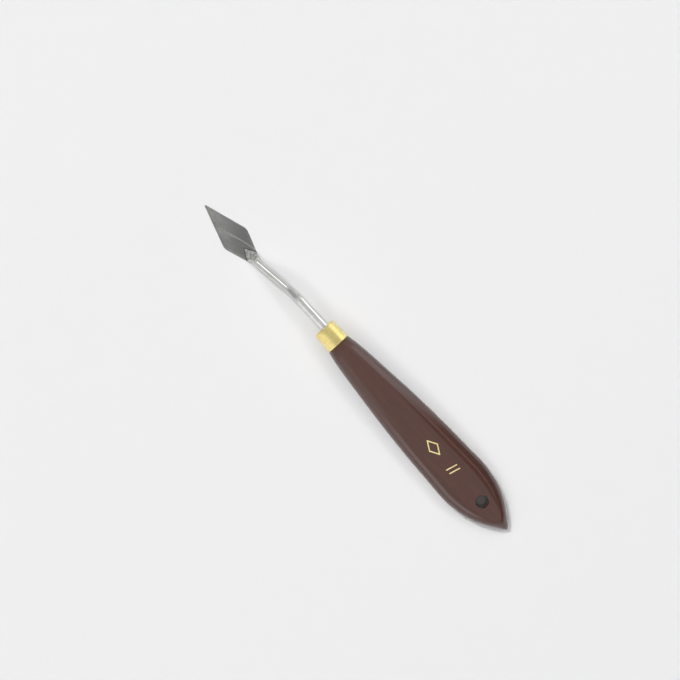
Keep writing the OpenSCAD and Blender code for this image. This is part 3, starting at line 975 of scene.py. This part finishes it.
def area(name, place, size, level, lean=0.0):
    """A soft box overhead for the matt surfaces, of the given radiance."""
    li = bpy.data.lights.new(name, "AREA")
    li.shape = "RECTANGLE"
    li.size, li.size_y = size
    li.energy = level * math.pi * size[0] * size[1]
    ob = bpy.data.objects.new(name, li)
    bpy.context.scene.collection.objects.link(ob)
    ob.location = place
    ob.rotation_euler = (0, lean, 0)
    ob.visible_camera = ob.visible_glossy = False
    return ob


area("key", (1.63, 0, 4.0), (0.45, 0.5), 97.0, R(23))
area("top", (0, 0, 4.0), (0.8, 0.8), 3.4)
area("fill", (0, 0, 1.6), (3.0, 3.0), 0.50)

# a ring lamp high above shares the work with the key, so shadows stay faint on every side
verts, faces, n = [], [], 96
for q in (24.5, 31.0):
    for i in range(n):
        b = 2 * math.pi * i / n
        verts.append((-74 + 4000 * math.tan(R(q)) * math.cos(b), 4000 * math.tan(R(q)) * math.sin(b), 4000))
for i in range(n):
    faces.append((i, n + i, n + (i + 1) % n, (i + 1) % n))
ring = new_object("ring_lamp", verts, faces, smooth=False)
ring.visible_camera = ring.visible_glossy = ring.visible_shadow = False
rm_ = bpy.data.materials.new("ring_lamp")
rm_.use_nodes = True
for n in list(rm_.node_tree.nodes):
    rm_.node_tree.nodes.remove(n)
k = Nodes(rm_.node_tree)
em, ou = k.add("ShaderNodeEmission"), k.add("ShaderNodeOutputMaterial")
k.put(em.inputs["Strength"], 3.75)
k.link(em.outputs[0], ou.inputs[0])
ring.data.materials.append(rm_)

# curved soft boxes beside the rod and the ferrule, fading out along the handle
verts, faces = [], []
for side, lo, hi in ((-1, 24, 89), (1, 18, 89)):
    base, n, m = len(verts), 32, 24
    for i in range(n + 1):
        q = R(lo + (hi - lo) * i / n)
        for j in range(m + 1):
            verts.append((-90 + 230 * j / m, side * 250 * math.sin(q), 250 * math.cos(q)))
    for i in range(n):
        for j in range(m):
            a = base + i * (m + 1) + j
            faces.append((a, a + 1, a + m + 2, a + m + 1))
boxes = new_object("side_boxes", verts, faces)
boxes.visible_camera = boxes.visible_diffuse = boxes.visible_shadow = False
bm_ = bpy.data.materials.new("side_box")
bm_.use_nodes = True
for n in list(bm_.node_tree.nodes):
    bm_.node_tree.nodes.remove(n)
k = Nodes(bm_.node_tree)
co = k.add("ShaderNodeTexCoord")
sx = k.add("ShaderNodeSeparateXYZ")
k.link(co.outputs["Object"], sx.inputs[0])
lean = k.math("ARCTAN2", sx.outputs[1], sx.outputs[2])
level = k.math("ADD", 0.62, 0.0)
level = k.math("ADD", level, k.math("MULTIPLY", k.map(lean, R(-26), R(-40)), 0.12))
near = k.map(sx.outputs[0], 0.046, 0.024)
level = k.math("ADD", level, k.math("MULTIPLY", k.math("MULTIPLY", k.map(lean, R(-46), R(-55)), 0.80), near))
level = k.math("ADD", level, k.math("MULTIPLY", k.math("MULTIPLY", k.map(lean, R(20), R(36)), 0.36), near))
em, tr, mx, ou = (k.add(x) for x in ("ShaderNodeEmission", "ShaderNodeBsdfTransparent", "ShaderNodeMixShader",
                                      "ShaderNodeOutputMaterial"))
k.put(em.inputs["Strength"], level)
k.put(em.inputs["Color"], (1.0, 0.997, 0.99))
k.put(mx.inputs[0], k.math("MULTIPLY", k.map(sx.outputs[0], -0.078, -0.022), k.map(sx.outputs[0], 0.085, 0.055)))
k.link(tr.outputs[0], mx.inputs[1])
k.link(em.outputs[0], mx.inputs[2])
k.link(mx.outputs[0], ou.inputs[0])
boxes.data.materials.append(bm_)

# ------------------------------------------------------------------ camera, straight above as in the picture
cam_data = bpy.data.cameras.new("camera")
cam = bpy.data.objects.new("camera", cam_data)
bpy.context.scene.collection.objects.link(cam)
bpy.context.scene.camera = cam
cam_data.sensor_width = 36
cam_data.lens = 100
px_mm = 2.46
span = 680 / px_mm
height = span * cam_data.lens / 36 + 6.0
# the image's right-hand direction in the row frame, and the point under the image's centre
right = Vector((-0.67447, -0.73831, 0)).normalized()
up = Vector((0.73831, -0.67447, 0)).normalized()
look = Vector((12.39, -1.63, 0)) * MM
cam.matrix_world = Matrix((
    (right.x, up.x, 0, look.x),
    (right.y, up.y, 0, look.y),
    (0, 0, 1, height * MM),
    (0, 0, 0, 1)))
cam_data.clip_start, cam_data.clip_end = 0.01, 50

scene = bpy.context.scene
scene.view_settings.view_transform = "Standard"
scene.view_settings.look = "None"
